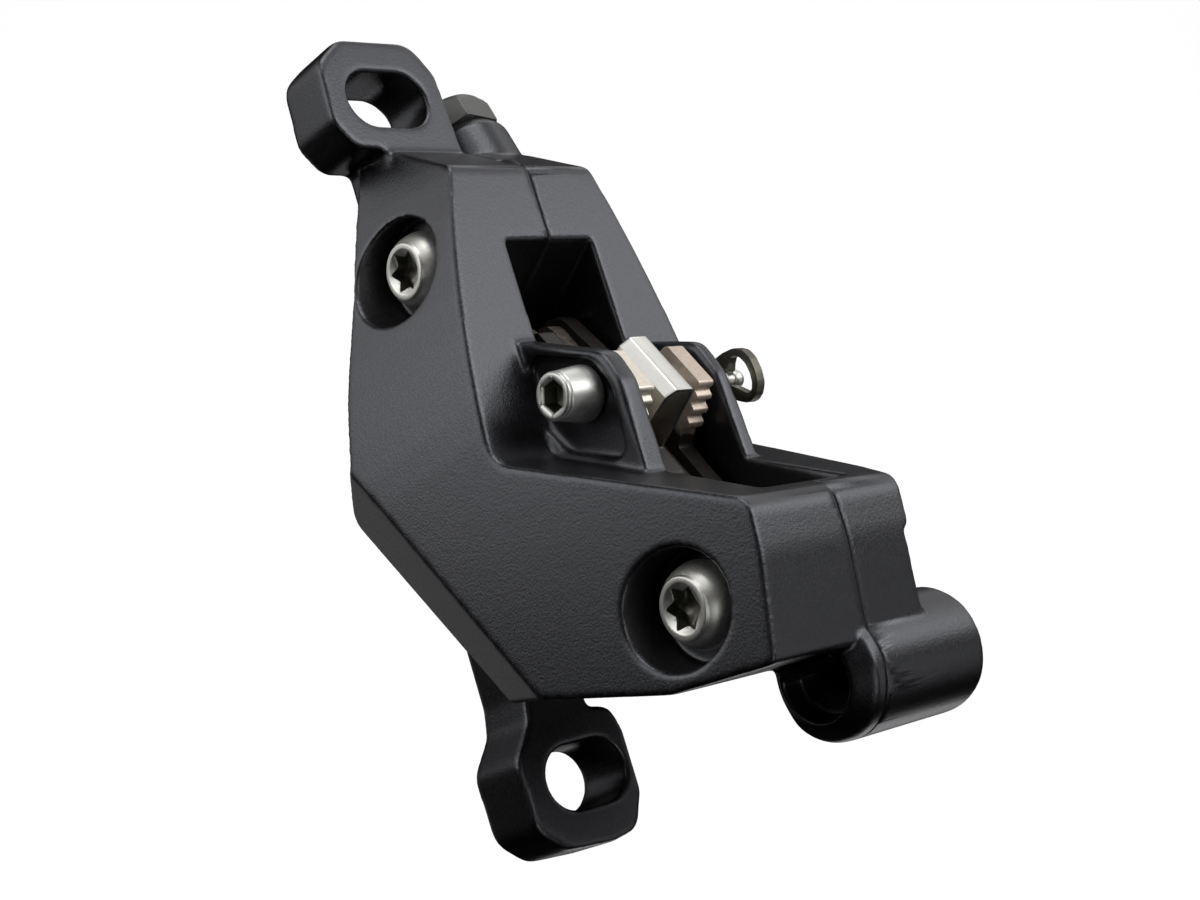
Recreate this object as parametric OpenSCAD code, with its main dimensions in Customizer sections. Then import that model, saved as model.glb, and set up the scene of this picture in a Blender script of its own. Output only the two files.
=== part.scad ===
// Four-piston disc brake caliper for a bicycle, post mount, with two slotted ears.
// X runs along the disc's axle (outer half on the negative side), the ears' seats lie in the plane Y = 0
// and face +Y, and Z runs from the lower mounting bolt to the upper one. Millimetres.

/* [Mounting] */
// distance between the two mounting bolt axes
mount_pitch = 74; // [70:0.5:80]
// thickness of each ear
ear_thickness = 7.2; // [5:0.1:10]
// half width of the slot in each ear
slot_half_width = 3.2; // [3.1:0.01:3.6]
// half length of the slot in each ear
slot_half_length = 5.2; // [4:0.1:7]

/* [Body] */
// plane in which the two halves meet
seam_x = 8.5; // [7:0.1:10]
// width of the pad pocket
pocket_width = 11.95; // [10:0.05:14]
// half length of the pad pocket along the disc's rim
pocket_half_length = 20.7; // [18:0.1:23]
// thickness of the near pad tab
near_tab_thickness = 2.9; // [2:0.1:4]
// thickness of the far pad tab
far_tab_thickness = 2.0; // [1.5:0.1:3]

/* [Disc] */
// radius of the disc slot, measured from the wheel axle
disc_slot_radius = 80.8; // [78:0.1:84]
// width of the disc slot
disc_slot_width = 4.4; // [3.5:0.05:5]

/* [Pistons] */
// radius of the two upper pistons
upper_piston_radius = 7.95; // [7:0.05:9]
// radius of the two lower pistons
lower_piston_radius = 6.95; // [6:0.05:8]
// radial running clearance of each piston
piston_clearance = 0.08; // [0.03:0.01:0.1]
// distance of each piston axis from the pad centre
piston_offset = 9.5; // [8:0.1:11]

/* [Pads] */
// thickness of each backplate
plate_thickness = 2.1; // [1.6:0.1:3]
// distance of each friction block's face from the seam plane
friction_gap = 1.15; // [0.95:0.05:2]
// distance of the far backplate's inner face from the seam plane
plate_gap = 2.9; // [2.6:0.1:3.4]
// the same distance for the near backplate
near_plate_gap = 3.4; // [2.9:0.1:3.6]

/* [Fasteners] */
// radius of the shank of the body bolts
bolt_radius = 2.5; // [2:0.1:3]
// radius of each bolt recess
recess_radius = 5.55; // [5:0.05:6.5]
// plane of the bolt heads' front rings
bolt_face_x = -5.0; // [-6:0.1:-4]
// radius of the pad pin's shank
pin_radius = 1.9; // [1.5:0.05:2.2]

/* [Ports] */
// radius of the barrel boss
barrel_radius = 6.25; // [5.5:0.05:7]
// far end of the barrel boss
barrel_end_x = 23.5; // [20:0.1:26]
// across-flats size of the bleed screw's head
bleed_flats = 8; // [7:0.1:9]

/* [Hidden] */
$fn = 72;
half = mount_pitch / 2;
pad_y = -11.2;
pad_z = -9.1;
pad_angle = 151.18;
pin_y = -22.3;
pin_z = -2.3;
near_wall = seam_x - pocket_width / 2;
far_wall = seam_x + pocket_width / 2;
slot_x0 = seam_x - disc_slot_width / 2;
far_shift = 15.7;
upper_bolt = [-7.5, 17.0];
lower_bolt = [-31.6, -26.1];
barrel_y = -34.6;
barrel_z = -35.4;

// ---------- helpers ----------
// a closed outline with its corners rounded: each point is [u, v, radius]
function unit(v) = v / norm(v);
function arc_pts(a, p, b, r, n) =
    r <= 0 ? [[p[0], p[1]]] :
    let (ua = unit([a[0] - p[0], a[1] - p[1]]), ub = unit([b[0] - p[0], b[1] - p[1]]),
         ang = acos(max(-1, min(1, ua * ub))),
         d = r / tan(ang / 2),
         pa = [p[0], p[1]] + ua * d, pb = [p[0], p[1]] + ub * d,
         bis = unit(ua + ub), c = [p[0], p[1]] + bis * (r / sin(ang / 2)),
         a0 = atan2(pa[1] - c[1], pa[0] - c[0]), a1 = atan2(pb[1] - c[1], pb[0] - c[0]),
         da = a1 - a0 > 180 ? a1 - a0 - 360 : (a1 - a0 < -180 ? a1 - a0 + 360 : a1 - a0))
    [for (i = [0:n]) c + r * [cos(a0 + da * i / n), sin(a0 + da * i / n)]];
function rounded(pts, n = 5) =
    let (m = len(pts))
    [for (i = [0:m - 1]) each arc_pts(pts[(i + m - 1) % m], pts[i], pts[(i + 1) % m], pts[i][2], n)];

// outline in Y and Z, drawn out from x0 to x1
module along_x(x0, x1) { translate([x0, 0, 0]) rotate([90, 0, 90]) linear_extrude(x1 - x0) children(); }
// outline in X and Z, drawn out from y0 to y1
module along_y(y0, y1) { translate([0, y1, 0]) rotate([90, 0, 0]) linear_extrude(y1 - y0) children(); }
// everything on the side of larger X of the plane x = c + a*y + b*z
module beyond(c, a, b) {
    n = sqrt(1 + a * a + b * b);
    translate([c, 0, 0]) rotate([0, asin(b / n), atan(-a)]) translate([0, -90, -90]) cube([150, 180, 180]);
}
// axes of the pads: local Y points away from the axle, local Z runs down along the disc's rim
module pad_frame() { translate([0, pad_y, pad_z]) rotate([pad_angle, 0, 0]) children(); }
module rod_x(x0, x1, y, z, r) { translate([x0, y, z]) rotate([0, 90, 0]) cylinder(r = r, h = x1 - x0); }
module mirror_seam() { translate([2 * seam_x, 0, 0]) mirror([1, 0, 0]) children(); }

// ---------- body ----------
body_outline = rounded([
    [-2.5, 31.1, 0.8], [-7.2, 30.75, 2.5], [-15.6, 25.2, 1.4], [-16.0, -6.55, 3.2], [-41.4, -19.0, 2.4],
    [-41.3, -24.0, 16], [-39.9, -33.6, 0.8], [-29.0, -33.2, 6], [-15.3, -29.7, 6],
    [-8.7, -28.75, 1.0], [6.35, -5.2, 1.8], [4.3, -3.3, 0.8], [1.3, -1.0, 1.0], [0.5, 6.2, 6], [-1.4, 16.5, 6]]);

// the outer face is crowned: its slope along Z grows from the lower end to the top
function crown_slope(z) = 0.08 + 0.00868 * (z + 5);
function crown_x(z) = -8.21 + 0.08 * (z + 5) + 0.00434 * (z + 5) * (z + 5);
module near_side() {
    intersection() {
        beyond(-11.81, -0.25, 0.08);
        for_planes();
        beyond(-12.76, 0.325, -0.253);
    }
}
module for_planes() {
    intersection_for (z = [-2, 2, 6, 10, 14, 18, 22, 27]) {
        a = -0.25 + 0.035 * min(1, (z + 5) / 20);
        beyond(crown_x(z) - crown_slope(z) * z + a * 16, a, crown_slope(z));
    }
}
module far_side() {
    translate([far_shift, 0, 0]) mirror([1, 0, 0]) intersection() {
        beyond(-12.1, -0.25, 0.08);
        for_planes();
        beyond(-12.76, 0.325, -0.253);
        beyond(-17.3, -0.30, -0.12);
    }
}

module pocket() {
    pad_frame() along_x(near_wall, near_wall + pocket_width)
        polygon([[-10.5, -14.6], [-3, -19], [2, -pocket_half_length], [60, -pocket_half_length], [60, pocket_half_length],
                 [2, pocket_half_length], [-3, 19], [-10.5, 14.6]]);
    pad_frame() rod_x(slot_x0, slot_x0 + disc_slot_width, -71.3, 0, disc_slot_radius);
}

module near_tab_outline() {
    polygon(rounded([[-13.5, 6.3, 0], [-15.6, 5.75, 1], [-26.7, 0.45, 2.2], [-28.05, -3.0, 1.8], [-27.9, -14.0, 0], [-14.0, -8.0, 0]]));
}
module near_tab_dish() {
    polygon(rounded([[-16.0, 4.25, 1.6], [-24.8, 0.3, 2.0], [-26.4, -3.0, 1.6], [-26.0, -10.6, 1.5], [-18.0, -6.9, 2.5], [-16.0, -3.6, 3]]));
}
module far_tab_outline() {
    polygon(rounded([[-13.5, 5.6, 0], [-15.8, 4.9, 1], [-25.1, 1.25, 2.2], [-26.75, -2.6, 2], [-27.2, -14.0, 0], [-14.0, -8.0, 0]]));
}

module upper_ear_outline() {
    polygon(rounded([[8.3, 29.5, 0], [8.25, 31.0, 2], [7.5, 40.4, 3.2], [5.4, 43.85, 3.0], [-4.7, 43.75, 2.6], [-7.8, 41.2, 2.2],
                     [-8.1, 34.1, 2.6], [-5.9, 31.15, 2.6], [-2.4, 31.1, 0.6], [-2.4, 27.0, 0], [8.3, 27.0, 0]]));
}
module lower_ear_outline() {
    polygon(rounded([[2.55, -14.0, 0], [2.55, -30.5, 0.6], [5.5, -31.0, 2.0], [6.4, -33.9, 2.5], [6.4, -40.2, 2.8], [4.7, -43.6, 2.6],
                     [1.0, -44.15, 2], [-5.3, -43.7, 2.6], [-8.2, -41.3, 2.4], [-8.4, -34.2, 2.6], [-5.6, -30.8, 2.0], [-5.0, -28.0, 1.5], [-5.0, -14.0, 0]]));
}
module ear_slot(z) {
    slot_c = slot_half_length - slot_half_width;
    translate([0, 1, z]) rotate([90, 0, 0]) {
        translate([-slot_c, 0, 0]) cylinder(r = slot_half_width, h = ear_thickness + 2);
        translate([slot_c, 0, 0]) cylinder(r = slot_half_width, h = ear_thickness + 2);
        translate([-slot_c, -slot_half_width, 0]) cube([2 * slot_c, 2 * slot_half_width, ear_thickness + 2]);
    }
}

// bore, cup floor and seal groove of one piston, on the near side
module piston_bore(s, r, floor_x) {
    pad_frame() {
        rod_x(floor_x, near_wall + 1, 0, s, r + piston_clearance);
        rod_x(near_wall - 3.0, near_wall - 1.1, 0, s, r + 1.2);
    }
}
module bores(upper_floor, lower_floor) {
    piston_bore(-piston_offset, upper_piston_radius, upper_floor);
    piston_bore(piston_offset, lower_piston_radius, lower_floor);
}

module near_half() {
    color([0.10, 0.10, 0.11]) difference() {
        union() {
            intersection() {
                along_x(-16, seam_x) polygon(body_outline);
                near_side();
            }
            along_x(near_wall - near_tab_thickness, near_wall + 0.7) near_tab_outline();
            along_y(-ear_thickness, 0) upper_ear_outline();
            along_y(-ear_thickness, 0) lower_ear_outline();
            // lip of the lower port
            rod_x(7.2, seam_x, barrel_y, barrel_z, barrel_radius);
            translate([5.6, barrel_y, barrel_z]) rotate([0, 90, 0]) cylinder(r1 = 4.3, r2 = barrel_radius, h = 1.6);
            along_x(6.9, seam_x) polygon([[-40.0, -28.0], [-40.05, -35.0], [-34.6, -36.0], [-29.6, -34.9], [-26.5, -31.5]]);
        }
        pocket();
        bores(-6.7, -6.1);
        for (b = [upper_bolt, lower_bolt]) {
            rod_x(-16, -1.8, b[0], b[1], recess_radius);
            rod_x(-3, seam_x + 1, b[0], b[1], bolt_radius + 0.2);
        }
        ear_slot(half);
        ear_slot(-half);
        rod_x(-4, 4, pin_y, pin_z, pin_radius + 0.02);
        along_x(near_wall - near_tab_thickness - 1, near_wall - near_tab_thickness + 1.0) near_tab_dish();
        // lower port: a half-round pit under a straight ledge
        intersection() {
            rod_x(5, seam_x + 1, barrel_y, barrel_z, 3.9);
            translate([4, -42, -44]) cube([8, 16, 44 - 34.5]);
        }
        translate([4.2, -37.4, -33.6]) cube([2.6, 7.4, 1.5]);
    }
}

// ---------- bleed boss: its own axis leans back from Z ----------
module bleed_axis() { translate([14.3, -2.6, 29.5]) rotate([-17.46, 0, 0]) children(); }

module far_half() {
    color([0.10, 0.10, 0.11]) difference() {
        union() {
            intersection() {
                along_x(seam_x, 34) polygon(body_outline);
                far_side();
            }
            along_x(far_wall - 0.7, far_wall + far_tab_thickness) far_tab_outline();
            rod_x(seam_x, barrel_end_x, barrel_y, barrel_z, barrel_radius);
            along_x(seam_x, 17.1) polygon([[-40.0, -28.0], [-40.05, -35.0], [-34.6, -36.0], [-29.6, -34.9], [-26.5, -31.5]]);
            bleed_axis() {
                translate([0, 0, -5]) cylinder(r = 5.15, h = 9.6);
                translate([0, 0, 4.6]) cylinder(r1 = 5.15, r2 = 4.2, h = 1.3);
            }
        }
        pocket();
        mirror_seam() bores(-5.4, -4.9);
        for (b = [upper_bolt, lower_bolt]) rod_x(seam_x - 1, 19.6, b[0], b[1], bolt_radius);
        rod_x(far_wall - 2, far_wall + 4, pin_y, pin_z, pin_radius + 0.02);
        // hose port in the barrel's far end, with the seat of its fitting
        rod_x(14.5, barrel_end_x + 1, barrel_y, barrel_z, 4.0);
        rod_x(11.5, 15, barrel_y, barrel_z, 1.0);
        rod_x(barrel_end_x - 0.8, barrel_end_x + 1, barrel_y, barrel_z, 5.0);
        // bleed screw's thread, seal seat and duct
        bleed_axis() {
            translate([0, 0, -1.5]) cylinder(r = 2.58, h = 9);
            translate([0, 0, -4.5]) cylinder(r = 0.9, h = 4);
            translate([0, 0, 4.7]) cylinder(r = 3.6, h = 3);
        }
        // seat of the crossover seal
        rod_x(seam_x - 1, seam_x + 1.1, -11.4, 24.6, 3.2);
        rod_x(seam_x - 1, seam_x + 5, -11.4, 24.6, 1.0);
    }
}

// ---------- body bolts ----------
module star(r, n = 6) {
    polygon([for (i = [0:35]) let (t = i * 10, q = cos(n * t)) (r * (0.86 + 0.14 * q)) * [cos(t), sin(t)]]);
}
module body_bolt(b) {
    translate([bolt_face_x, b[0], b[1]]) rotate([0, 90, 0]) difference() {
        union() {
            rotate_extrude() polygon([[0, 0], [2.75, 0], [3.0, 0.12], [3.5, 0.75], [3.95, 1.65], [4.2, 2.6], [4.3, 3.1], [4.25, 3.2], [0, 3.2]]);
            cylinder(r = bolt_radius, h = 24.2);
        }
        translate([0, 0, -1]) rotate([0, 0, 12]) linear_extrude(3.6) star(2.22);
    }
}
module body_bolt_upper() { color([0.75, 0.74, 0.7]) body_bolt(upper_bolt); }
module body_bolt_lower() { color([0.75, 0.74, 0.7]) body_bolt(lower_bolt); }

// ---------- pistons and seals ----------
module piston(s, r, back_x, gap) {
    pad_frame() translate([back_x, 0, s]) rotate([0, 90, 0]) {
        h = seam_x - gap - plate_thickness - 0.1 - back_x;
        rotate_extrude() polygon([[0, 0], [r - 0.5, 0], [r, 0.5], [r, h - 0.3], [r - 0.3, h], [r - 1.9, h], [r - 2.1, h - 0.2], [r - 2.1, 3.4], [r - 2.6, 2.9], [0, 2.9]]);
    }
}
module piston_near_upper() { color([0.5, 0.45, 0.38]) piston(-piston_offset, upper_piston_radius, -6.1, near_plate_gap); }
module piston_near_lower() { color([0.5, 0.45, 0.38]) piston(piston_offset, lower_piston_radius, -5.5, near_plate_gap); }
module piston_far_upper() { color([0.5, 0.45, 0.38]) mirror_seam() piston(-piston_offset, upper_piston_radius, -4.8, plate_gap); }
module piston_far_lower() { color([0.5, 0.45, 0.38]) mirror_seam() piston(piston_offset, lower_piston_radius, -4.3, plate_gap); }

module seal(s, r) {
    pad_frame() translate([near_wall - 3.0, 0, s]) rotate([0, 90, 0]) difference() {
        cylinder(r = r + 1.2, h = 1.9);
        translate([0, 0, -1]) cylinder(r = r + 0.1, h = 4);
    }
}
module seal_near_upper() { color([0.05, 0.05, 0.05]) seal(-piston_offset, upper_piston_radius); }
module seal_near_lower() { color([0.05, 0.05, 0.05]) seal(piston_offset, lower_piston_radius); }
module seal_far_upper() { color([0.05, 0.05, 0.05]) mirror_seam() seal(-piston_offset, upper_piston_radius); }
module seal_far_lower() { color([0.05, 0.05, 0.05]) mirror_seam() seal(piston_offset, lower_piston_radius); }

module ring_seal(r_mid, r_sec) { rotate_extrude() translate([r_mid, 0]) circle(r = r_sec, $fn = 24); }
module crossover_seal() {
    color([0.05, 0.05, 0.05]) translate([seam_x + 0.55, -11.4, 24.6]) rotate([0, 90, 0]) ring_seal(2.6, 0.54);
}

// ---------- pads ----------
// outline in the pads' own axes: first away from the axle, then down along the rim
function plate_outline(upper, lower) = rounded([
    [-9.4, -13.5, 2], [-2, -17.6, 4], [8.6, -18.6, 2.5], [9.1, -13.0, 1], [upper, -11.7, 0.5], [upper + 0.1, -8.6, 0.6], [9.2, -7.2, 0.8], [9.6, -4.4, 0.8],
    [16.5, -2.95, 0.7], [16.5, 2.95, 0.35], [15.85, 3.05, 0.25], [15.5, 2.65, 0.25], [15.2, 3.55, 0.25], [14.7, 3.65, 0.25],
    [14.2, 3.0, 0.25], [13.75, 4.0, 0.25], [13.2, 4.05, 0.25], [12.7, 3.4, 0.25], [12.3, 4.35, 0.25], [11.7, 4.4, 0.25], [11.2, 3.8, 0.25],
    [9.3, 4.6, 0.6], [9.3, 6.3, 0.6], [lower, 7.0, 0.6], [lower, 10.9, 0.8], [9.1, 13.0, 1], [8.6, 18.6, 2.5], [-2, 17.6, 4], [-9.4, 13.5, 2]], 3);
block_outline = rounded([[-9.2, -12.6, 1.5], [-2, -16.6, 4], [8.2, -17.6, 2], [8.2, -0.6, 0], [7.4, 0, 0], [8.2, 0.6, 0], [8.2, 17.6, 2], [-2, 16.6, 4], [-9.2, 12.6, 1.5],
    [-9.2, 0.6, 0], [-8.4, 0, 0], [-9.2, -0.6, 0]], 3);

module plate(x0, upper, lower) {
    difference() {
        pad_frame() along_x(x0, x0 + plate_thickness) polygon(plate_outline(upper, lower));
        rod_x(x0 - 1, x0 + 4, pin_y, pin_z, pin_radius + 0.35);
    }
}
module near_backplate() { color([0.62, 0.5, 0.42]) plate(seam_x - near_plate_gap - plate_thickness, 11.45, 12.5); }
module far_backplate() { color([0.62, 0.5, 0.42]) plate(seam_x + plate_gap, 9.25, 9.25); }
module near_friction() {
    color([0.3, 0.27, 0.24]) pad_frame() along_x(seam_x - near_plate_gap, seam_x - friction_gap) polygon(block_outline);
}
module far_friction() {
    color([0.3, 0.27, 0.24]) pad_frame() along_x(seam_x + friction_gap, seam_x + plate_gap) polygon(block_outline);
}

// folded sheet between the pads: a channel that straddles the pin, open towards the disc
spring_outer = rounded([[5.2, 8.6, 0], [6.1, 15.9, 0.35], [7.05, 16.85, 0.35], [9.6, 16.85, 0.6], [9.95, 8.6, 0], [9.6, 8.6, 0],
    [9.25, 16.5, 0.3], [7.2, 16.5, 0.15], [6.45, 15.75, 0.15], [5.55, 8.6, 0]], 4);
module pad_spring() {
    color([0.8, 0.78, 0.75]) difference() {
        pad_frame() translate([0, 0, -4.05]) linear_extrude(8.1) polygon(spring_outer);
        rod_x(5, 12, pin_y, pin_z, pin_radius + 0.35);
    }
}

// ---------- pad pin and clip ----------
module pad_pin() {
    color([0.8, 0.8, 0.78]) translate([-4.0, pin_y, pin_z]) rotate([0, 90, 0]) difference() {
        rotate_extrude() polygon([[0, 0], [2.25, 0], [2.4, 0.12], [2.45, 0.35], [2.85, 3.7], [2.85, 4.1], [2.65, 4.6], [pin_radius, 4.6], [pin_radius, 20.9],
            [1.5, 21.6], [1.15, 21.9], [1.1, 23.9], [0.7, 24.1], [0.7, 25.3], [0.93, 25.46], [1.03, 25.9], [0.93, 26.34], [0.7, 26.65], [0.36, 26.87], [0, 26.93]]);
        translate([0, 0, -1]) rotate([0, 0, 10]) cylinder(r = 1.74, h = 3.1, $fn = 6);
    }
}
clip_outline = rounded([
    [-21.0, -0.9, 0.3], [-22.2, 0.2, 0.8], [-23.4, 0.35, 1.5], [-25.0, 0.28, 1.6], [-26.1, -0.35, 1.2], [-26.7, -1.4, 2], [-26.92, -2.9, 3],
    [-26.75, -4.3, 1.5], [-26.1, -5.2, 1.0], [-25.3, -5.62, 0.8], [-24.5, -5.6, 0.8], [-23.5, -5.05, 2], [-22.3, -4.2, 1.5], [-21.3, -3.9, 0.3], [-21.1, -3.0, 0.2],
    [-22.3, -2.75, 0], [-23.2, -3.2, 0.5], [-24.4, -4.2, 1.5], [-25.1, -4.8, 0.5], [-25.7, -4.55, 0.5], [-26.02, -3.9, 1.5], [-26.12, -2.9, 2], [-25.9, -1.7, 1.5],
    [-25.4, -0.9, 1], [-24.8, -0.45, 0.5], [-24.2, -0.5, 0.4], [-23.75, -1.0, 0.8], [-23.4, -1.65, 0.3], [-22.9, -1.8, 0.2], [-22.3, -1.85, 0], [-21.2, -1.6, 0.3]], 4);
module pin_clip() {
    color([0.2, 0.2, 0.17]) difference() {
        along_x(20.15, 21.25) polygon(clip_outline);
        rod_x(20, 22, pin_y, pin_z, 0.77);
    }
}

// ---------- bleed screw ----------
module bleed_screw() {
    color([0.25, 0.25, 0.26]) bleed_axis() {
        translate([0, 0, 6.1]) intersection() {
            cylinder(r = bleed_flats / sqrt(3), h = 4.6, $fn = 6);
            rotate_extrude() polygon([[0, 0], [4.4, 0], [4.65, 0.25], [4.65, 2.6], [4.1, 3.5], [3.0, 4.15], [1.5, 4.5], [0, 4.6]]);
        }
        cylinder(r = 2.5, h = 6.3);
        translate([0, 0, -1.2]) cylinder(r1 = 0.6, r2 = 2.5, h = 1.2);
    }
}
module bleed_seal() { color([0.05, 0.05, 0.05]) bleed_axis() translate([0, 0, 5.35]) ring_seal(3.06, 0.5); }

// ---------- hose port fitting, open for a hose ----------
module port_fitting() {
    color([0.6, 0.6, 0.58]) translate([barrel_end_x - 8.4, barrel_y, barrel_z]) rotate([0, 90, 0]) rotate_extrude()
        polygon([[1.0, 0], [3.7, 0], [4.0, 0.3], [4.0, 7.6], [5.0, 7.6], [5.0, 8.4], [3.3, 8.4], [2.95, 8.05], [2.95, 1.2], [1.0, 0.9]]);
}
module port_seal() {
    color([0.05, 0.05, 0.05]) translate([barrel_end_x - 8.4 - 0.3, barrel_y, barrel_z]) rotate([0, 90, 0]) ring_seal(2.9, 0.3);
}

near_half();
far_half();
body_bolt_upper();
body_bolt_lower();
piston_near_upper();
piston_near_lower();
piston_far_upper();
piston_far_lower();
seal_near_upper();
seal_near_lower();
seal_far_upper();
seal_far_lower();
crossover_seal();
near_backplate();
near_friction();
far_backplate();
far_friction();
pad_spring();
pad_pin();
pin_clip();
bleed_screw();
bleed_seal();
port_fitting();
port_seal();
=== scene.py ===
import math
import bpy
import bmesh
import numpy as np
from mathutils import Matrix, Vector


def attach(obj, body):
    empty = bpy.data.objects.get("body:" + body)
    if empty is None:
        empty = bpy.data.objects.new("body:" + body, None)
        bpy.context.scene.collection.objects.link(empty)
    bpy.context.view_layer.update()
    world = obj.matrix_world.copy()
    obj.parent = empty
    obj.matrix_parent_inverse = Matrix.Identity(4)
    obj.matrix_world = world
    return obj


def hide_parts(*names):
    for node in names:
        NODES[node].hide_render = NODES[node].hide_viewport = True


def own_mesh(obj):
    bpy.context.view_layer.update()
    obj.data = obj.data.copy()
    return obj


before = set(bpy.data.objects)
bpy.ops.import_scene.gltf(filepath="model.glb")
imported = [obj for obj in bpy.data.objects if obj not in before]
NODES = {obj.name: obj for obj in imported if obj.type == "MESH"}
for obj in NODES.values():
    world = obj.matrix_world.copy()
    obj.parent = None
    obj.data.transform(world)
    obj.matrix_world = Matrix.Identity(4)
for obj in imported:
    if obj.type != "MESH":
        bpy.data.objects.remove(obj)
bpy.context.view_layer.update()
MM = 0.001
SEAM = 8.5


# ---------------------------------------------------------------- mesh helpers
def arrays(obj):
    me = obj.data
    v = np.zeros(len(me.vertices) * 3)
    me.vertices.foreach_get("co", v)
    me.calc_loop_triangles()
    t = np.zeros(len(me.loop_triangles) * 3, dtype=np.int64)
    me.loop_triangles.foreach_get("vertices", t)
    return v.reshape(-1, 3), t.reshape(-1, 3)


def welded(v, t, digits=7):
    key = np.round(v, digits)
    _, first, inv = np.unique(key, axis=0, return_index=True, return_inverse=True)
    return v[first], inv.reshape(-1)[t]


def new_object(name, verts, faces):
    me = bpy.data.meshes.new(name)
    me.from_pydata([tuple(p) for p in verts], [], [tuple(int(i) for i in f) for f in faces])
    me.update()
    ob = bpy.data.objects.new(name, me)
    bpy.context.scene.collection.objects.link(ob)
    return ob


def applied(ob):
    dg = bpy.context.evaluated_depsgraph_get()
    ev = ob.evaluated_get(dg)
    me = bpy.data.meshes.new_from_object(ev, depsgraph=dg)
    old = ob.data
    ob.modifiers.clear()
    ob.data = me
    bpy.data.meshes.remove(old)
    return ob


def edges_of(me):
    e = np.zeros(len(me.edges) * 2, dtype=np.int64)
    me.edges.foreach_get("vertices", e)
    return e.reshape(-1, 2)


def smoothed(co, e, rounds, weight=0.5, mask=None):
    n = len(co)
    deg = np.bincount(e.ravel(), minlength=n).astype(float)[:, None]
    for _ in range(rounds):
        s = np.zeros_like(co)
        for k in range(3):
            s[:, k] = np.bincount(e[:, 0], co[e[:, 1], k], n) + np.bincount(e[:, 1], co[e[:, 0], k], n)
        d = weight * (s / deg - co)
        co = co + (d if mask is None else d * mask[:, None])
    return co


def shade(ob, smooth=True):
    ob.data.polygons.foreach_set("use_smooth", [smooth] * len(ob.data.polygons))
    ob.data.update()


# ---------------------------------------------------------------- the two halves
def body_meshes():
    """Both halves as one soft-edged casting, then parted again at the seam with a fine groove."""
    vs, ts, base = [], [], 0
    for n in ("near_half", "far_half"):
        v, t = arrays(NODES[n])
        v, t = welded(v, t)
        if n == "far_half":  # let the two overlap a little, so that they join
            v = v.copy()
            v[np.abs(v[:, 0] - SEAM * MM) < 1e-5, 0] -= 0.3 * MM
        vs.append(v)
        ts.append(t + base)
        base += len(v)
    ob = new_object("casting", np.concatenate(vs), np.concatenate(ts))
    m = ob.modifiers.new("remesh", "REMESH")
    m.mode = "VOXEL"
    m.voxel_size = 0.17 * MM
    m.adaptivity = 0
    applied(ob)
    me = ob.data
    co = np.zeros(len(me.vertices) * 3)
    me.vertices.foreach_get("co", co)
    co = co.reshape(-1, 3)
    e = edges_of(me)
    soft = smoothed(co, e, 12)
    # a small step in the far side's edge, beside the end face
    x, y, z = (soft / MM).T
    depth = np.interp(-z, [23.8, 24.15, 24.7, 25.6, 28.0, 30.0, 32.0], [0, 0.72, 0.78, 0.55, 0.42, 0.25, 0])
    depth *= np.clip((x - 14.3) / 2.6, 0, 1) * np.clip((-36.0 - y) / 3.2, 0, 1)
    soft[:, 0] -= depth * MM
    soft = smoothed(soft, e, 8)
    # rounder corners on the two tabs and on the ears
    x, y, z = (soft / MM).T
    r = -0.876132 * (y + 11.2) + 0.482074 * (z + 9.1)
    t = -0.482074 * (y + 11.2) - 0.876132 * (z + 9.1)
    tab = np.clip((r - 14.3) / 2.2, 0, 1) * np.clip((8.5 - np.abs(t - 1.0)) / 2.5, 0, 1)
    ear = np.clip((np.abs(x) - 3.6) / 2.2, 0, 1) * np.clip((np.abs(z) - 39.6) / 2.0, 0, 1)
    soft = smoothed(soft, e, 34, mask=np.maximum(tab, ear))
    lap = smoothed(soft, e, 16) - soft
    me.vertices.foreach_set("co", soft.ravel())
    me.update()
    nrm = np.zeros(len(me.vertices) * 3)
    me.vertices.foreach_get("normal", nrm)
    nrm = nrm.reshape(-1, 3)
    # convexity per vertex, kept as the 'edge' attribute; the body material lightens convex edges with it as a painted
    # highlight
    edge = np.clip(-(lap * nrm).sum(1) / (0.055 * MM), -1, 1)
    for _ in range(6):
        edge = smoothed(edge[:, None].repeat(3, 1), e, 1)[:, 0]
    a = me.attributes.new("edge", "FLOAT", "POINT")
    a.data.foreach_set("value", edge.astype(np.float32))
    halves = []
    for name, sign in (("near_body", 1), ("far_body", -1)):
        bm = bmesh.new()
        bm.from_mesh(me)
        cut = (SEAM - sign * 0.1) * MM
        geom = bm.verts[:] + bm.edges[:] + bm.faces[:]
        r = bmesh.ops.bisect_plane(bm, geom=geom, plane_co=(cut, 0, 0), plane_no=(sign, 0, 0), clear_outer=True, dist=1e-7)
        bm.normal_update()
        rim = [ed for ed in bm.edges if ed.is_boundary]
        g = bmesh.ops.extrude_edge_only(bm, edges=rim)
        nv = [x for x in g["geom"] if isinstance(x, bmesh.types.BMVert)]
        ne = [x for x in g["geom"] if isinstance(x, bmesh.types.BMEdge)]
        near = {}
        for ed in rim:
            for v in ed.verts:
                near[(round(v.co.y, 8), round(v.co.z, 8))] = v.normal.copy()
        for v in nv:
            n = near.get((round(v.co.y, 8), round(v.co.z, 8)), Vector((0, 0, 0)))
            n = Vector((0, n.y, n.z))
            if n.length > 1e-6:
                n.normalize()
            v.co.x += sign * 0.1 * MM
            v.co -= n * 0.2 * MM
        top = [ed for ed in ne if ed.is_boundary]
        bmesh.ops.triangle_fill(bm, use_beauty=False, use_dissolve=False, edges=top, normal=(sign, 0, 0))
        bmesh.ops.recalc_face_normals(bm, faces=bm.faces[:])
        half = bpy.data.meshes.new(name)
        bm.to_mesh(half)
        bm.free()
        hob = bpy.data.objects.new(name, half)
        bpy.context.scene.collection.objects.link(hob)
        thin = hob.modifiers.new("thin", "DECIMATE")
        thin.ratio = 0.34
        applied(hob)
        shade(hob)
        halves.append(hob)
    bpy.data.objects.remove(ob)
    return halves


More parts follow.
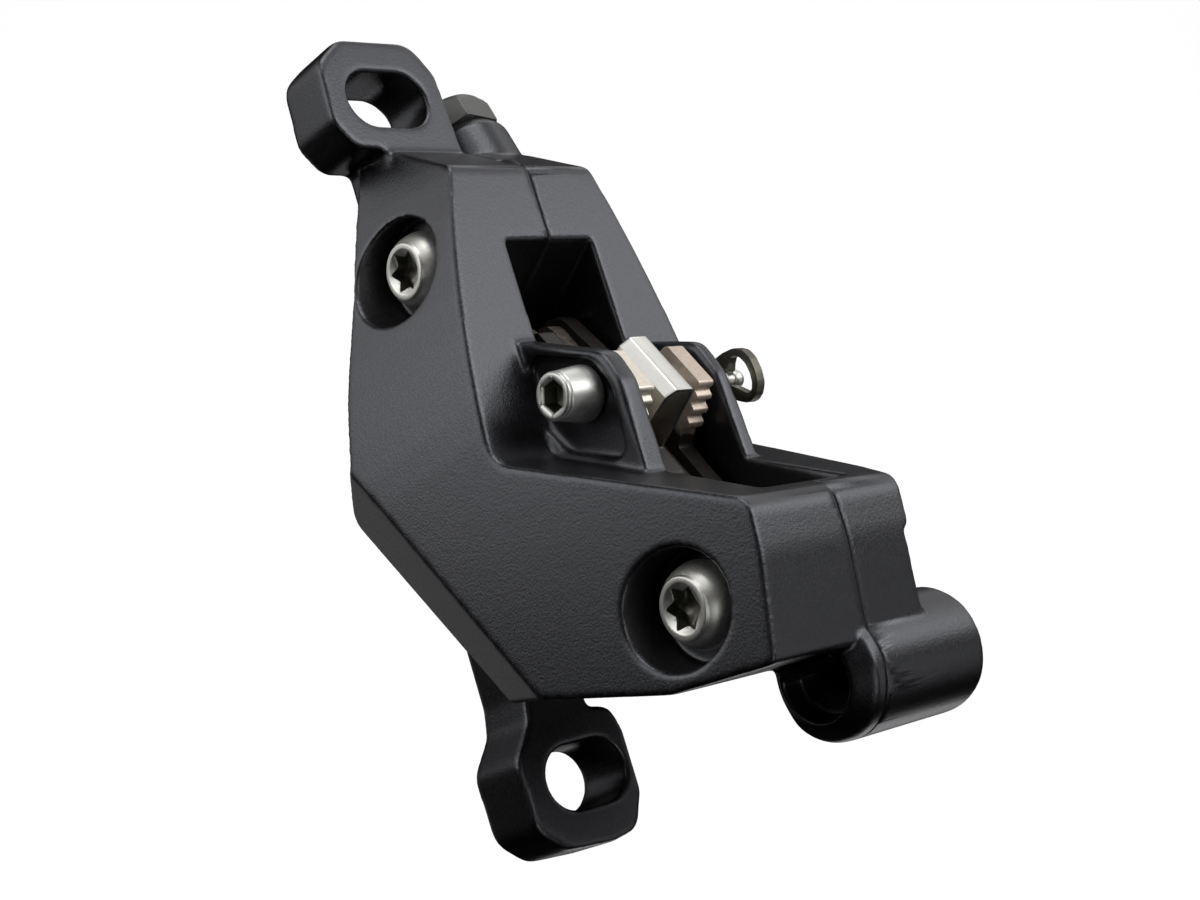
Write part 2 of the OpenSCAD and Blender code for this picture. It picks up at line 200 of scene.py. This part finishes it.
near_body, far_body = body_meshes()
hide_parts("near_half")
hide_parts("far_half")
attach(near_body, "caliper")
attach(far_body, "caliper")


# ---------------------------------------------------------------- materials
def material(name):
    m = bpy.data.materials.new(name)
    m.use_nodes = True
    nt = m.node_tree
    nt.nodes.clear()
    out = nt.nodes.new("ShaderNodeOutputMaterial")
    b = nt.nodes.new("ShaderNodeBsdfPrincipled")
    nt.links.new(b.outputs[0], out.inputs[0])
    tc = nt.nodes.new("ShaderNodeTexCoord")
    return m, nt, b, tc


def noise(nt, tc, scale, detail=3.0, rough=0.55, stretch=None, w=0.0):
    n = nt.nodes.new("ShaderNodeTexNoise")
    n.inputs["Scale"].default_value = scale
    n.inputs["Detail"].default_value = detail
    n.inputs["Roughness"].default_value = rough
    if stretch:
        mp = nt.nodes.new("ShaderNodeMapping")
        mp.inputs["Scale"].default_value = stretch
        mp.inputs["Location"].default_value = (w, w, w)
        nt.links.new(tc.outputs["Object"], mp.inputs[0])
        nt.links.new(mp.outputs[0], n.inputs["Vector"])
    else:
        nt.links.new(tc.outputs["Object"], n.inputs["Vector"])
    return n


def ramp(nt, src, stops):
    r = nt.nodes.new("ShaderNodeValToRGB")
    while len(r.color_ramp.elements) < len(stops):
        r.color_ramp.elements.new(0.5)
    for el, (p, c) in zip(r.color_ramp.elements, stops):
        el.position = p
        el.color = (c, c, c, 1) if not isinstance(c, (tuple, list)) else (*c, 1)
    nt.links.new(src, r.inputs[0])
    return r


def bump(nt, src, dist, strength=1.0, prev=None):
    b = nt.nodes.new("ShaderNodeBump")
    b.inputs["Strength"].default_value = strength
    b.inputs["Distance"].default_value = dist
    nt.links.new(src, b.inputs["Height"])
    if prev:
        nt.links.new(prev.outputs[0], b.inputs["Normal"])
    return b


def mixc(nt, fac, a, b, mode="MIX"):
    m = nt.nodes.new("ShaderNodeMix")
    m.data_type = "RGBA"
    m.blend_type = mode
    for sock, val in ((m.inputs["Factor"], fac), (m.inputs["A"], a), (m.inputs["B"], b)):
        pass
    f, A, B = m.inputs[0], m.inputs[6], m.inputs[7]
    for sock, val in ((f, fac), (A, a), (B, b)):
        if isinstance(val, (int, float)):
            sock.default_value = val
        elif isinstance(val, tuple):
            sock.default_value = (*val, 1)
        else:
            nt.links.new(val, sock)
    return m


def anodised(name, base=(0.0030, 0.0030, 0.0036), rough=0.33):
    m, nt, b, tc = material(name)
    fine = noise(nt, tc, 4000, 2, 0.6)
    mid = noise(nt, tc, 900, 3, 0.5)
    big = noise(nt, tc, 60, 2, 0.5)
    c1 = ramp(nt, fine.outputs[0], [(0.3, tuple(x * 0.72 for x in base)), (0.7, tuple(x * 1.35 for x in base))])
    c2 = ramp(nt, big.outputs[0], [(0.3, 0.90), (0.7, 1.10)])
    mul = mixc(nt, 1.0, c1.outputs[0], c2.outputs[0], "MULTIPLY")
    # painted highlight: convex edges (the 'edge' attribute) lightened toward grey, broken up by noise
    at = nt.nodes.new("ShaderNodeAttribute")
    at.attribute_name = "edge"
    er = ramp(nt, at.outputs["Fac"], [(0.3, 0.0), (0.9, 0.16)])
    painted_edge_highlight = mixc(nt, 1.0, er.outputs[0], ramp(nt, mid.outputs[0], [(0.45, 0.0), (0.62, 1.0)]).outputs[0], "MULTIPLY")
    col = mixc(nt, painted_edge_highlight.outputs[2], mul.outputs[2], (0.05, 0.05, 0.053))
    nt.links.new(col.outputs[2], b.inputs["Base Color"])
    rr = ramp(nt, fine.outputs[0], [(0.25, rough - 0.05), (0.75, rough + 0.06)])
    nt.links.new(rr.outputs[0], b.inputs["Roughness"])
    b.inputs["IOR"].default_value = 1.85
    b.inputs["Specular Tint"].default_value = (0.91, 0.925, 1.0, 1)
    bp = bump(nt, fine.outputs[0], 0.024 * MM, 1.0)
    bp2 = bump(nt, mid.outputs[0], 0.012 * MM, 0.7, bp)
    nt.links.new(bp2.outputs[0], b.inputs["Normal"])
    return m


def metal(name, base, rough, spread=0.04, stretch=(1, 1, 1), scale=3600, var=0.05, bump_mm=0.0006, metallic=1.0):
    m, nt, b, tc = material(name)
    g = noise(nt, tc, scale, 3, 0.6, stretch)
    big = noise(nt, tc, 250, 3, 0.5)
    c1 = ramp(nt, g.outputs[0], [(0.3, tuple(x * (1 - var) for x in base)), (0.7, tuple(min(1, x * (1 + var)) for x in base))])
    c2 = ramp(nt, big.outputs[0], [(0.3, 0.93), (0.7, 1.05)])
    mul = mixc(nt, 1.0, c1.outputs[0], c2.outputs[0], "MULTIPLY")
    nt.links.new(mul.outputs[2], b.inputs["Base Color"])
    b.inputs["Metallic"].default_value = metallic
    rr = ramp(nt, g.outputs[0], [(0.25, max(0.03, rough - spread)), (0.75, rough + spread)])
    nt.links.new(rr.outputs[0], b.inputs["Roughness"])
    bp = bump(nt, g.outputs[0], bump_mm * MM, 1.0)
    nt.links.new(bp.outputs[0], b.inputs["Normal"])
    return m


def plate_metal(name, low, high):
    """Pressed copper-toned plate: bare on its tab, with painted shade further in (near-black and less metallic)."""
    m, nt, b, tc = material(name)
    g = noise(nt, tc, 2500, 3, 0.6)
    big = noise(nt, tc, 700, 3, 0.5)
    bare = ramp(nt, g.outputs[0], [(0.3, low), (0.7, high)])
    # painted shade: near-black colour for the plate away from its tab
    painted_shade_colour = ramp(nt, g.outputs[0], [(0.3, (0.008, 0.006, 0.005)), (0.7, (0.020, 0.015, 0.012))])
    sx = nt.nodes.new("ShaderNodeSeparateXYZ")
    nt.links.new(tc.outputs["Object"], sx.inputs[0])

    def math_node(op, a, c):
        n = nt.nodes.new("ShaderNodeMath")
        n.operation = op
        for k, q in enumerate((a, c)):
            if q is None:
                continue
            if isinstance(q, (int, float)):
                n.inputs[k].default_value = q
            else:
                nt.links.new(q, n.inputs[k])
        return n.outputs[0]

    y = math_node("MULTIPLY", math_node("ADD", sx.outputs["Y"], 0.0112), -0.482074)
    z = math_node("MULTIPLY", math_node("ADD", sx.outputs["Z"], 0.0091), -0.876132)
    away = math_node("ABSOLUTE", math_node("SUBTRACT", math_node("ADD", y, z), 0.0012), None)
    y = math_node("MULTIPLY", math_node("ADD", sx.outputs["Y"], 0.0112), -0.876132)
    z = math_node("MULTIPLY", math_node("ADD", sx.outputs["Z"], 0.0091), 0.482074)
    deep = math_node("SUBTRACT", 0.0112, math_node("ADD", y, z))
    wob = math_node("MULTIPLY", math_node("SUBTRACT", big.outputs[0], 0.5), 0.0012)
    side_on = ramp(nt, math_node("MULTIPLY", math_node("ADD", away, wob), 100.0), [(0.50, 0.0), (0.64, 1.0)])
    deep_on = ramp(nt, math_node("MULTIPLY", math_node("ADD", deep, wob), 1000.0), [(0.0, 0.0), (0.9, 1.0)])
    # painted shade mask: on away from the tab's strip and deeper in; it darkens the colour and lowers metallic
    painted_shade_mask = mixc(nt, side_on.outputs[0], deep_on.outputs[0], (1.0, 1.0, 1.0))
    col = mixc(nt, painted_shade_mask.outputs[2], bare.outputs[0], painted_shade_colour.outputs[0])
    painted_shade_metallic = ramp(nt, painted_shade_mask.outputs[2], [(0.0, 0.8), (1.0, 0.1)])
    nt.links.new(painted_shade_metallic.outputs[0], b.inputs["Metallic"])
    nt.links.new(col.outputs[2], b.inputs["Base Color"])
    rr = ramp(nt, g.outputs[0], [(0.25, 0.40), (0.75, 0.50)])
    nt.links.new(rr.outputs[0], b.inputs["Roughness"])
    bp = bump(nt, g.outputs[0], 0.004 * MM, 1.0)
    nt.links.new(bp.outputs[0], b.inputs["Normal"])
    return m


M = {
    "body": anodised("anodised_black"),
    "bolt": metal("bolt_steel", (0.97, 0.955, 0.895), 0.43),
    # painted shade: a dark copy of the bolt steel for the inside of the bolt and pin sockets
    "socket": metal("socket_shade", (0.24, 0.235, 0.20), 0.40),
    "piston": metal("piston_resin", (0.05, 0.04, 0.032), 0.5, metallic=0.0, bump_mm=0.02),
    "rubber": metal("seal_rubber", (0.02, 0.02, 0.02), 0.6, metallic=0.0, bump_mm=0.01),
    "plate": plate_metal("backplate_copper", (0.66, 0.545, 0.46), (0.80, 0.68, 0.585)),
    # painted light: a lighter copy of the backplate material, for the near plate that the near tab shades
    "plate_painted_light": plate_metal("backplate_painted_light", (0.86, 0.78, 0.68), (0.97, 0.90, 0.80)),
    "friction": metal("friction_block", (0.10, 0.08, 0.066), 0.75, metallic=0.15, scale=1800, var=0.5, bump_mm=0.08),
    "spring": metal("spring_sheet", (0.84, 0.83, 0.79), 0.29, spread=0.012, stretch=(1, 0.08, 0.08), scale=1900, bump_mm=0.0003),
    "pin": metal("pin_steel", (0.80, 0.80, 0.765), 0.40),
    "clip": metal("clip_sheet", (0.17, 0.16, 0.13), 0.38, metallic=0.85),
    "bleed": metal("bleed_dark", (0.15, 0.15, 0.145), 0.42, metallic=0.6),
    "port": metal("port_steel", (0.55, 0.55, 0.53), 0.3),
}
PAINT = {
    "near_half": "body", "far_half": "body", "body_bolt_upper": "bolt", "body_bolt_lower": "bolt",
    "piston_near_upper": "piston", "piston_near_lower": "piston", "piston_far_upper": "piston", "piston_far_lower": "piston",
    "seal_near_upper": "rubber", "seal_near_lower": "rubber", "seal_far_upper": "rubber", "seal_far_lower": "rubber",
    "crossover_seal": "rubber", "near_backplate": "plate", "far_backplate": "plate", "near_friction": "friction",
    "far_friction": "friction", "pad_spring": "spring", "pad_pin": "pin", "pin_clip": "clip", "bleed_screw": "bleed",
    "bleed_seal": "rubber", "port_fitting": "port", "port_seal": "rubber",
}
for n, o in NODES.items():
    o.data.materials.clear()
    o.data.materials.append(M[PAINT[n]])
for o in (near_body, far_body):
    o.data.materials.append(M["body"])


# ---------------------------------------------------------------- detailed pieces
def settle(ob, angle=32.0):
    """Smooth shading with true edges kept sharp."""
    shade(ob)
    ob.data.set_sharp_from_angle(angle=math.radians(angle))
    return ob


def turned(name, origin, rings, count=144, frames=None):
    """A turned piece: rings of (x, r), each a number or a function of the angle, from its front centre to its back centre."""
    th = np.linspace(0, 2 * math.pi, count, endpoint=False)
    ex, ey, ez = frames if frames else (Vector((1, 0, 0)), Vector((0, 1, 0)), Vector((0, 0, 1)))
    verts, faces = [], []
    o = Vector(origin)

    def val(q, t):
        return q(t) if callable(q) else q

    def point(x, r, t):
        return (o + ex * x + ey * (r * math.cos(t)) + ez * (r * math.sin(t))) * MM

    verts.append(point(val(rings[0][0], 0), 0, 0))
    rows = []
    for x, r in rings[1:-1]:
        rows.append(len(verts))
        for t in th:
            verts.append(point(val(x, t), val(r, t), t))
    verts.append(point(val(rings[-1][0], 0), 0, 0))
    last = len(verts) - 1
    for i in range(count):
        j = (i + 1) % count
        faces.append((0, rows[0] + j, rows[0] + i))
        for k in range(len(rows) - 1):
            faces.append((rows[k] + i, rows[k] + j, rows[k + 1] + j, rows[k + 1] + i))
        faces.append((last, rows[-1] + i, rows[-1] + j))
    ob = new_object(name, verts, faces)
    bm = bmesh.new()
    bm.from_mesh(ob.data)
    bmesh.ops.recalc_face_normals(bm, faces=bm.faces[:])
    bm.to_mesh(ob.data)
    bm.free()
    return ob


def edged(node, name, width, segs=3, angle=35.0, only=None):
    """A copy of a CAD node's shape with its edges broken by a fine rounding."""
    v, t = arrays(NODES[node])
    v, t = welded(v, t)
    ob = new_object(name, v, t)
    bm = bmesh.new()
    bm.from_mesh(ob.data)
    bmesh.ops.recalc_face_normals(bm, faces=bm.faces[:])
    bmesh.ops.dissolve_limit(bm, angle_limit=math.radians(0.6), verts=bm.verts[:], edges=bm.edges[:])
    pick = []
    for e in bm.edges:
        if len(e.link_faces) == 2 and e.calc_face_angle(0) > math.radians(angle):
            if only is None or only(e):
                pick.append(e)
    bmesh.ops.bevel(bm, geom=pick, offset=width * MM, offset_type="OFFSET", segments=segs, profile=0.5, affect="EDGES", clamp_overlap=True)
    bmesh.ops.triangulate(bm, faces=[f for f in bm.faces if len(f.verts) > 4])
    bm.to_mesh(ob.data)
    bm.free()
    shade(ob)
    m = ob.modifiers.new("weights", "WEIGHTED_NORMAL")
    m.weight = 90
    applied(ob)
    return ob


def stand_in(ob, node, body):
    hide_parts(node)
    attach(ob, body)
    return ob


def star(r_out, r_in, turn):
    return lambda t: r_out - (r_out - r_in) * (math.sqrt(math.sin(3 * (t - turn)) ** 2 + 0.006) - 0.077) / 0.926


def six(flat, turn, corner):
    return lambda t: min(flat / math.cos((t - turn + math.pi / 6) % (math.pi / 3) - math.pi / 6), corner)


def body_bolt(name, y, z, turn):
    st = star(2.22, 1.60, turn)
    slope = lambda r: max(0.0, (2.40 - r) * 0.55)
    rings = [(2.35, 0), (2.25, 0.9), (2.05, lambda t: st(t) * 0.9), (1.9, lambda t: st(t) * 0.985), (1.75, st)]
    rings += [(lambda t, f=f: 1.75 + (slope(st(t)) + 0.05 - 1.75) * f, st) for f in (0.4, 0.8, 1.0)]
    rings += [(lambda t: slope(st(t) + 0.035) , lambda t: st(t) + 0.035)]
    rings += [(lambda t, f=f: slope(st(t) + (2.40 - st(t)) * f), lambda t, f=f: st(t) + (2.40 - st(t)) * f) for f in (0.35, 0.7, 0.95)]
    rings += [(0.005, 2.43), (0.0, 2.48), (0.0, 2.80), (0.02, 2.88), (0.08, 2.95), (0.18, 3.0), (0.3, 3.04), (0.36, 3.10)]
    rings += [(0.62, 3.36), (1.0, 3.62), (1.45, 3.86), (1.9, 4.04), (2.3, 4.14), (2.7, 4.2), (2.95, 4.2), (3.08, 4.16), (3.17, 4.06), (3.2, 3.9)]
    rings += [(3.2, 2.62), (3.22, 2.5), (23.4, 2.5), (24.0, 2.1), (24.2, 1.5), (24.2, 0)]
    ob = turned(name, (-5.0, y, z), rings, 180)
    settle(ob, 38)
    ob.data.materials.append(M["bolt"])
    ob.data.materials.append(M["socket"])
    # faces inside the socket take the dark copy: painted shade
    for p in ob.data.polygons:
        c = p.center
        r = math.hypot(c.y / MM - y, c.z / MM - z)
        x = c.x / MM + 5.0
        if r < 2.3 and x > slope(r) + 0.07 and x < 3:
            p.material_index = 1
    return ob


def pad_pin_mesh():
    y, z = -22.3, -2.3
    hx = six(1.44, math.radians(22), 1.64)
    rings = [(2.55, 0), (2.3, 0.9), (2.15, lambda t: hx(t) * 0.93), (2.05, hx), (1.2, hx), (0.36, hx), (0.30, lambda t: hx(t) + 0.02)]
    rings += [(0.16, lambda t: hx(t) + 0.07), (0.07, lambda t: hx(t) + 0.12), (0.0, lambda t: max(hx(t) + 0.20, 1.80))]
    rings += [(0.0, 2.1), (0.03, 2.24), (0.10, 2.34), (0.20, 2.40), (0.32, 2.42), (0.42, 2.40), (0.48, 2.36), (0.54, 2.36), (0.60, 2.41)]
    rings += [(0.75, 2.45), (1.5, 2.54), (2.4, 2.66), (3.3, 2.79), (3.7, 2.84), (3.95, 2.85), (4.15, 2.83), (4.32, 2.77), (4.46, 2.66), (4.55, 2.5), (4.6, 2.3)]
    rings += [(4.6, 1.98), (4.64, 1.9), (20.6, 1.9), (20.9, 1.86), (21.6, 1.48), (21.85, 1.2), (22.0, 1.12), (23.85, 1.1), (23.98, 1.05), (24.08, 0.9), (24.1, 0.72)]
    rings += [(24.15, 0.7), (25.2, 0.7), (25.3, 0.74)]
    rings += [(25.9 - 1.03 * math.cos(a), 1.03 * math.sin(a)) for a in np.radians([52, 64, 76, 88, 100, 112, 124, 136, 148, 160, 171])] + [(26.93, 0)]
    ob = turned("pad_pin_turned", (-4.0, y, z), rings, 144)
    settle(ob, 38)
    ob.data.materials.append(M["pin"])
    ob.data.materials.append(M["socket"])
    # faces inside the hex socket take the dark copy: painted shade
    for p in ob.data.polygons:
        c = p.center
        if math.hypot(c.y / MM - y, c.z / MM - z) < 1.72 and 0.34 < c.x / MM + 4.0 < 3:
            p.material_index = 1
    return ob


def bleed_mesh():
    lean = math.radians(-17.46)
    ax = Vector((0, -math.sin(lean), math.cos(lean)))
    u = Vector((1, 0, 0))
    w = ax.cross(u)
    hx = six(4.25, BLEED_TURN, 4.85)
    dome = [(6.1, 4.5), (6.16, 4.7), (6.3, 4.9), (6.5, 4.97), (8.3, 4.97), (8.7, 4.88), (9.1, 4.64), (9.5, 4.28), (9.85, 3.8), (10.15, 3.2), (10.38, 2.5), (10.52, 1.8), (10.6, 1.2), (10.64, 0.6)]

    def soft(a, b, k=0.16):
        h = max(0.0, min(1.0, 0.5 + 0.5 * (b - a) / k))
        return b * (1 - h) + a * h - k * h * (1 - h)

    rings = [(-1.2, 0), (-1.2, 0.6), (0.0, 2.4), (0.1, 2.5), (6.0, 2.5), (6.08, 2.6)]
    rings += [(x, lambda t, r=r: soft(hx(t), r)) for x, r in dome] + [(10.66, 0)]
    ob = turned("bleed_screw_hex", (14.3, -2.6, 29.5), rings, 180, (ax, u, w))
    settle(ob, 40)
    ob.data.materials.append(M["bleed"])
    return ob


PR = Vector((0, -0.876132, 0.482074))
PS = Vector((0, -0.482074, -0.876132))
PC = Vector((0, -11.2, -9.1))


def pad_point(x, r, s):
    return (PC + PR * r + PS * s + Vector((x, 0, 0))) * MM


def spring_mesh():
    """The folded sheet: a channel with rounded bends, its left leg 0.1 mm shorter at one open end."""
    out = []

    def bend(p, q, r2, rad, n=7):
        p, q, r2 = (np.array(k, float) for k in (p, q, r2))
        a, b = (p - q) / np.linalg.norm(p - q), (r2 - q) / np.linalg.norm(r2 - q)
        ang = math.acos(float(a @ b))
        d = rad / math.tan(ang / 2)
        c = q + (a + b) / np.linalg.norm(a + b) * rad / math.sin(ang / 2)
        p0, p1 = q + a * d - c, q + b * d - c
        for i in range(n + 1):
            f = i / n
            m = p0 * (1 - f) + p1 * f
            out.append(tuple(c + m / np.linalg.norm(m) * rad))

    line = [(5.38, 8.6), (6.27, 15.83), (7.12, 16.68), (9.43, 16.68), (9.78, 8.6)]
    for k in range(12):
        f = k / 12
        out.append(tuple(np.array(line[0]) * (1 - f) + np.array(line[1]) * f * 0.97 + np.array(line[0]) * f * 0.03))
    bend(line[0], line[1], line[2], 0.28)
    bend(line[1], line[2], line[3], 0.28)
    bend(line[2], line[3], line[4], 0.42)
    for k in range(1, 13):
        f = k / 12
        out.append(tuple(np.array(line[3]) * (1 - f) * 0.97 + np.array(line[4]) * (f * 0.97 + 0.03)))
    out = [p for i, p in enumerate(out) if i == 0 or math.dist(p, out[i - 1]) > 0.03]
    ns = 28
    verts, faces = [], []
    for (x, r) in out:
        drop = max(0.0, 16.7 - r)
        lo = -4.05
        hi = 4.05 - 0.10 * min(1.0, drop / 1.0) * (1 if x < 7.2 else 0)
        for j in range(ns + 1):
            verts.append(pad_point(x, r, lo + (hi - lo) * j / ns))
    for i in range(len(out) - 1):
        for j in range(ns):
            faces.append((i * (ns + 1) + j, i * (ns + 1) + j + 1, (i + 1) * (ns + 1) + j + 1, (i + 1) * (ns + 1) + j))
    ob = new_object("pad_spring_sheet", verts, faces)
    m = ob.modifiers.new("thick", "SOLIDIFY")
    m.thickness = 0.34 * MM
    m.offset = 0
    applied(ob)
    # holes for the pin through both legs
    th = np.linspace(0, 2 * math.pi, 48, endpoint=False)
    cv = [Vector((x, -22.3 + 2.25 * math.cos(a), -2.3 + 2.25 * math.sin(a))) * MM for x in (3.5, 11.5) for a in th]
    cf = [(i, (i + 1) % 48, 48 + (i + 1) % 48, 48 + i) for i in range(48)] + [tuple(reversed(range(48))), tuple(range(48, 96))]
    cut = new_object("cut", cv, cf)
    m = ob.modifiers.new("holes", "BOOLEAN")
    m.operation = "DIFFERENCE"
    m.solver = "EXACT"
    m.object = cut
    m = ob.modifiers.new("edges", "BEVEL")
    m.width = 0.05 * MM
    m.segments = 2
    m.limit_method = "ANGLE"
    m.angle_limit = math.radians(50)
    applied(ob)
    bpy.data.objects.remove(cut)
    settle(ob, 30)
    ob.data.materials.append(M["spring"])
    return ob


BLEED_TURN = math.radians(39.2)
stand_in(body_bolt("bolt_upper_turned", -7.5, 17.0, math.radians(12)), "body_bolt_upper", "caliper")
stand_in(body_bolt("bolt_lower_turned", -31.6, -26.1, math.radians(12)), "body_bolt_lower", "caliper")
stand_in(pad_pin_mesh(), "pad_pin", "caliper")
stand_in(bleed_mesh(), "bleed_screw", "bleeder")
spring = stand_in(spring_mesh(), "pad_spring", "caliper")
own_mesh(spring)
for node, name, body, slot, w, kind in (
    # the near plate gets the lighter, painted-light copy of the backplate material
    ("near_backplate", "near_plate_pressed", "near_pad", "backplate", 0.14, "plate_painted_light"),
    ("far_backplate", "far_plate_pressed", "far_pad", "backplate", 0.14, "plate"),
    ("pin_clip", "clip_formed", "clip", "clip_steel", 0.16, "clip"),
    ("port_fitting", "port_turned", "caliper", "port_steel", 0.06, "port"),
):
    ob = edged(node, name, w, 3, 50 if kind != "clip" else 60)
    ob.data.materials.clear()
    ob.data.materials.append(M[kind])
    stand_in(ob, node, body)


# ---------------------------------------------------------------- floor, light, camera
def quad(name, corners, mat):
    ob = new_object(name, [Vector(c) for c in corners], [(0, 1, 2, 3)])
    ob.data.materials.append(mat)
    return ob


fm, nt, b, tc = material("floor_pale")
b.inputs["Base Color"].default_value = (0.9, 0.9, 0.9, 1)
b.inputs["Roughness"].default_value = 0.7
b.inputs["Emission Color"].default_value = (1, 1, 1, 1)
b.inputs["Emission Strength"].default_value = 0.9
fwd = Vector((0.685284, 0.705037, 0.0)).normalized()
side = Vector((0.705037, -0.685284, 0.0)).normalized()
pts, W = [], 1.2
prof = [(-1.2, 0.0), (0.55, 0.0)]
prof += [(0.55 + 0.25 * math.sin(a), 0.25 - 0.25 * math.cos(a)) for a in np.linspace(0, math.pi / 2, 13)[1:]]
prof += [(0.8, 0.9)]
verts, faces = [], []
for (u, z) in prof:
    for s in (-W, W):
        verts.append(fwd * u + side * s + Vector((0, 0, z - 0.09)))
for i in range(len(prof) - 1):
    faces.append((2 * i, 2 * i + 1, 2 * i + 3, 2 * i + 2))
cyc = new_object("floor", verts, faces)
shade(cyc)
cyc.data.materials.append(fm)
cyc.visible_diffuse = cyc.visible_glossy = cyc.visible_shadow = False


def area(name, loc, target, size, power, color=(1, 1, 1), size_y=None):
    d = bpy.data.lights.new(name, "AREA")
    d.energy = power
    d.color = color
    d.size = size
    if size_y:
        d.shape = "RECTANGLE"
        d.size_y = size_y
    o = bpy.data.objects.new(name, d)
    bpy.context.scene.collection.objects.link(o)
    o.location = loc
    o.rotation_euler = (Vector(target) - Vector(loc)).to_track_quat("-Z", "Y").to_euler()
    o.visible_camera = False
    return o


def card(name, az, z0, z1, width, power):
    """An upright soft panel 0.3 m from the part."""
    a, z = math.radians(az), (z0 + z1) / 2
    return area(name, (0.3 * math.cos(a), 0.3 * math.sin(a) - 0.01, z), (0, -0.01, z), width, power, size_y=z1 - z0)


def panel(name, az, el, power):
    """A square soft panel 0.5 m from the part, turned to it."""
    a, e = math.radians(az), math.radians(el)
    loc = (0.5 * math.cos(a) * math.cos(e), 0.5 * math.sin(a) * math.cos(e) - 0.01, 0.5 * math.sin(e))
    return area(name, loc, (0, -0.01, 0), 0.28, power)


card("front_right_card", -46, 0.03, 0.33, 0.35, 0.205)
card("left_back_card", 146, 0.10, 0.40, 0.30, 0.121)
card("left_back_low", 162, 0.04, 0.24, 0.30, 0.051)
card("left_card", 178, 0.08, 0.38, 0.30, 0.30)
card("front_strip", -60, 0.0, 0.15, 0.30, 0.185)
card("right_card", -5, 0.10, 0.40, 0.25, 0.111)
card("front_left_card", -75, 0.03, 0.33, 0.25, 0.017)
panel("left_back", 146, 35, 0.050)
panel("back_high", 120, 50, 0.083)
panel("front_low", -75, 10, 0.381)
panel("right_low", -18, 10, 0.082)
panel("back_level", 97, 0, 0.073)
panel("back_under", 38, -40, 0.28)
panel("right_under", -46, -25, 0.106)
panel("front_under", -110, -30, 0.219)
panel("left_under", -150, -15, 0.012)
panel("right_high", 0, 60, 0.216)
panel("front_top", -90, 60, 0.671)
panel("left_top", -150, 52, 0.16)
panel("front_left_high", -127, 40, 0.09)

w = bpy.data.worlds.new("studio")
bpy.context.scene.world = w
w.use_nodes = True
w.node_tree.nodes["Background"].inputs[0].default_value = (1, 1, 1, 1)
w.node_tree.nodes["Background"].inputs[1].default_value = 0.97
seen = w.cycles_visibility
seen.diffuse = seen.glossy = seen.transmission = seen.scatter = False

right = Vector((0.722849, -0.627936, -0.288418))
down = Vector((-0.088742, 0.329574, -0.93995))
ahead = Vector((0.685284, 0.705037, 0.182508))
cd = bpy.data.cameras.new("camera")
cd.sensor_width = 36.0
cd.lens = 1920.849 / 1200 * 36.0
cd.clip_start, cd.clip_end = 0.01, 10
cam = bpy.data.objects.new("camera", cd)
bpy.context.scene.collection.objects.link(cam)
rot = Matrix((right, -down, -ahead)).transposed()
cam.matrix_world = Matrix.Translation(Vector((-0.1272, -0.153239, -0.042024))) @ rot.to_4x4()
bpy.context.scene.camera = cam
bpy.context.scene.view_settings.view_transform = "Standard"
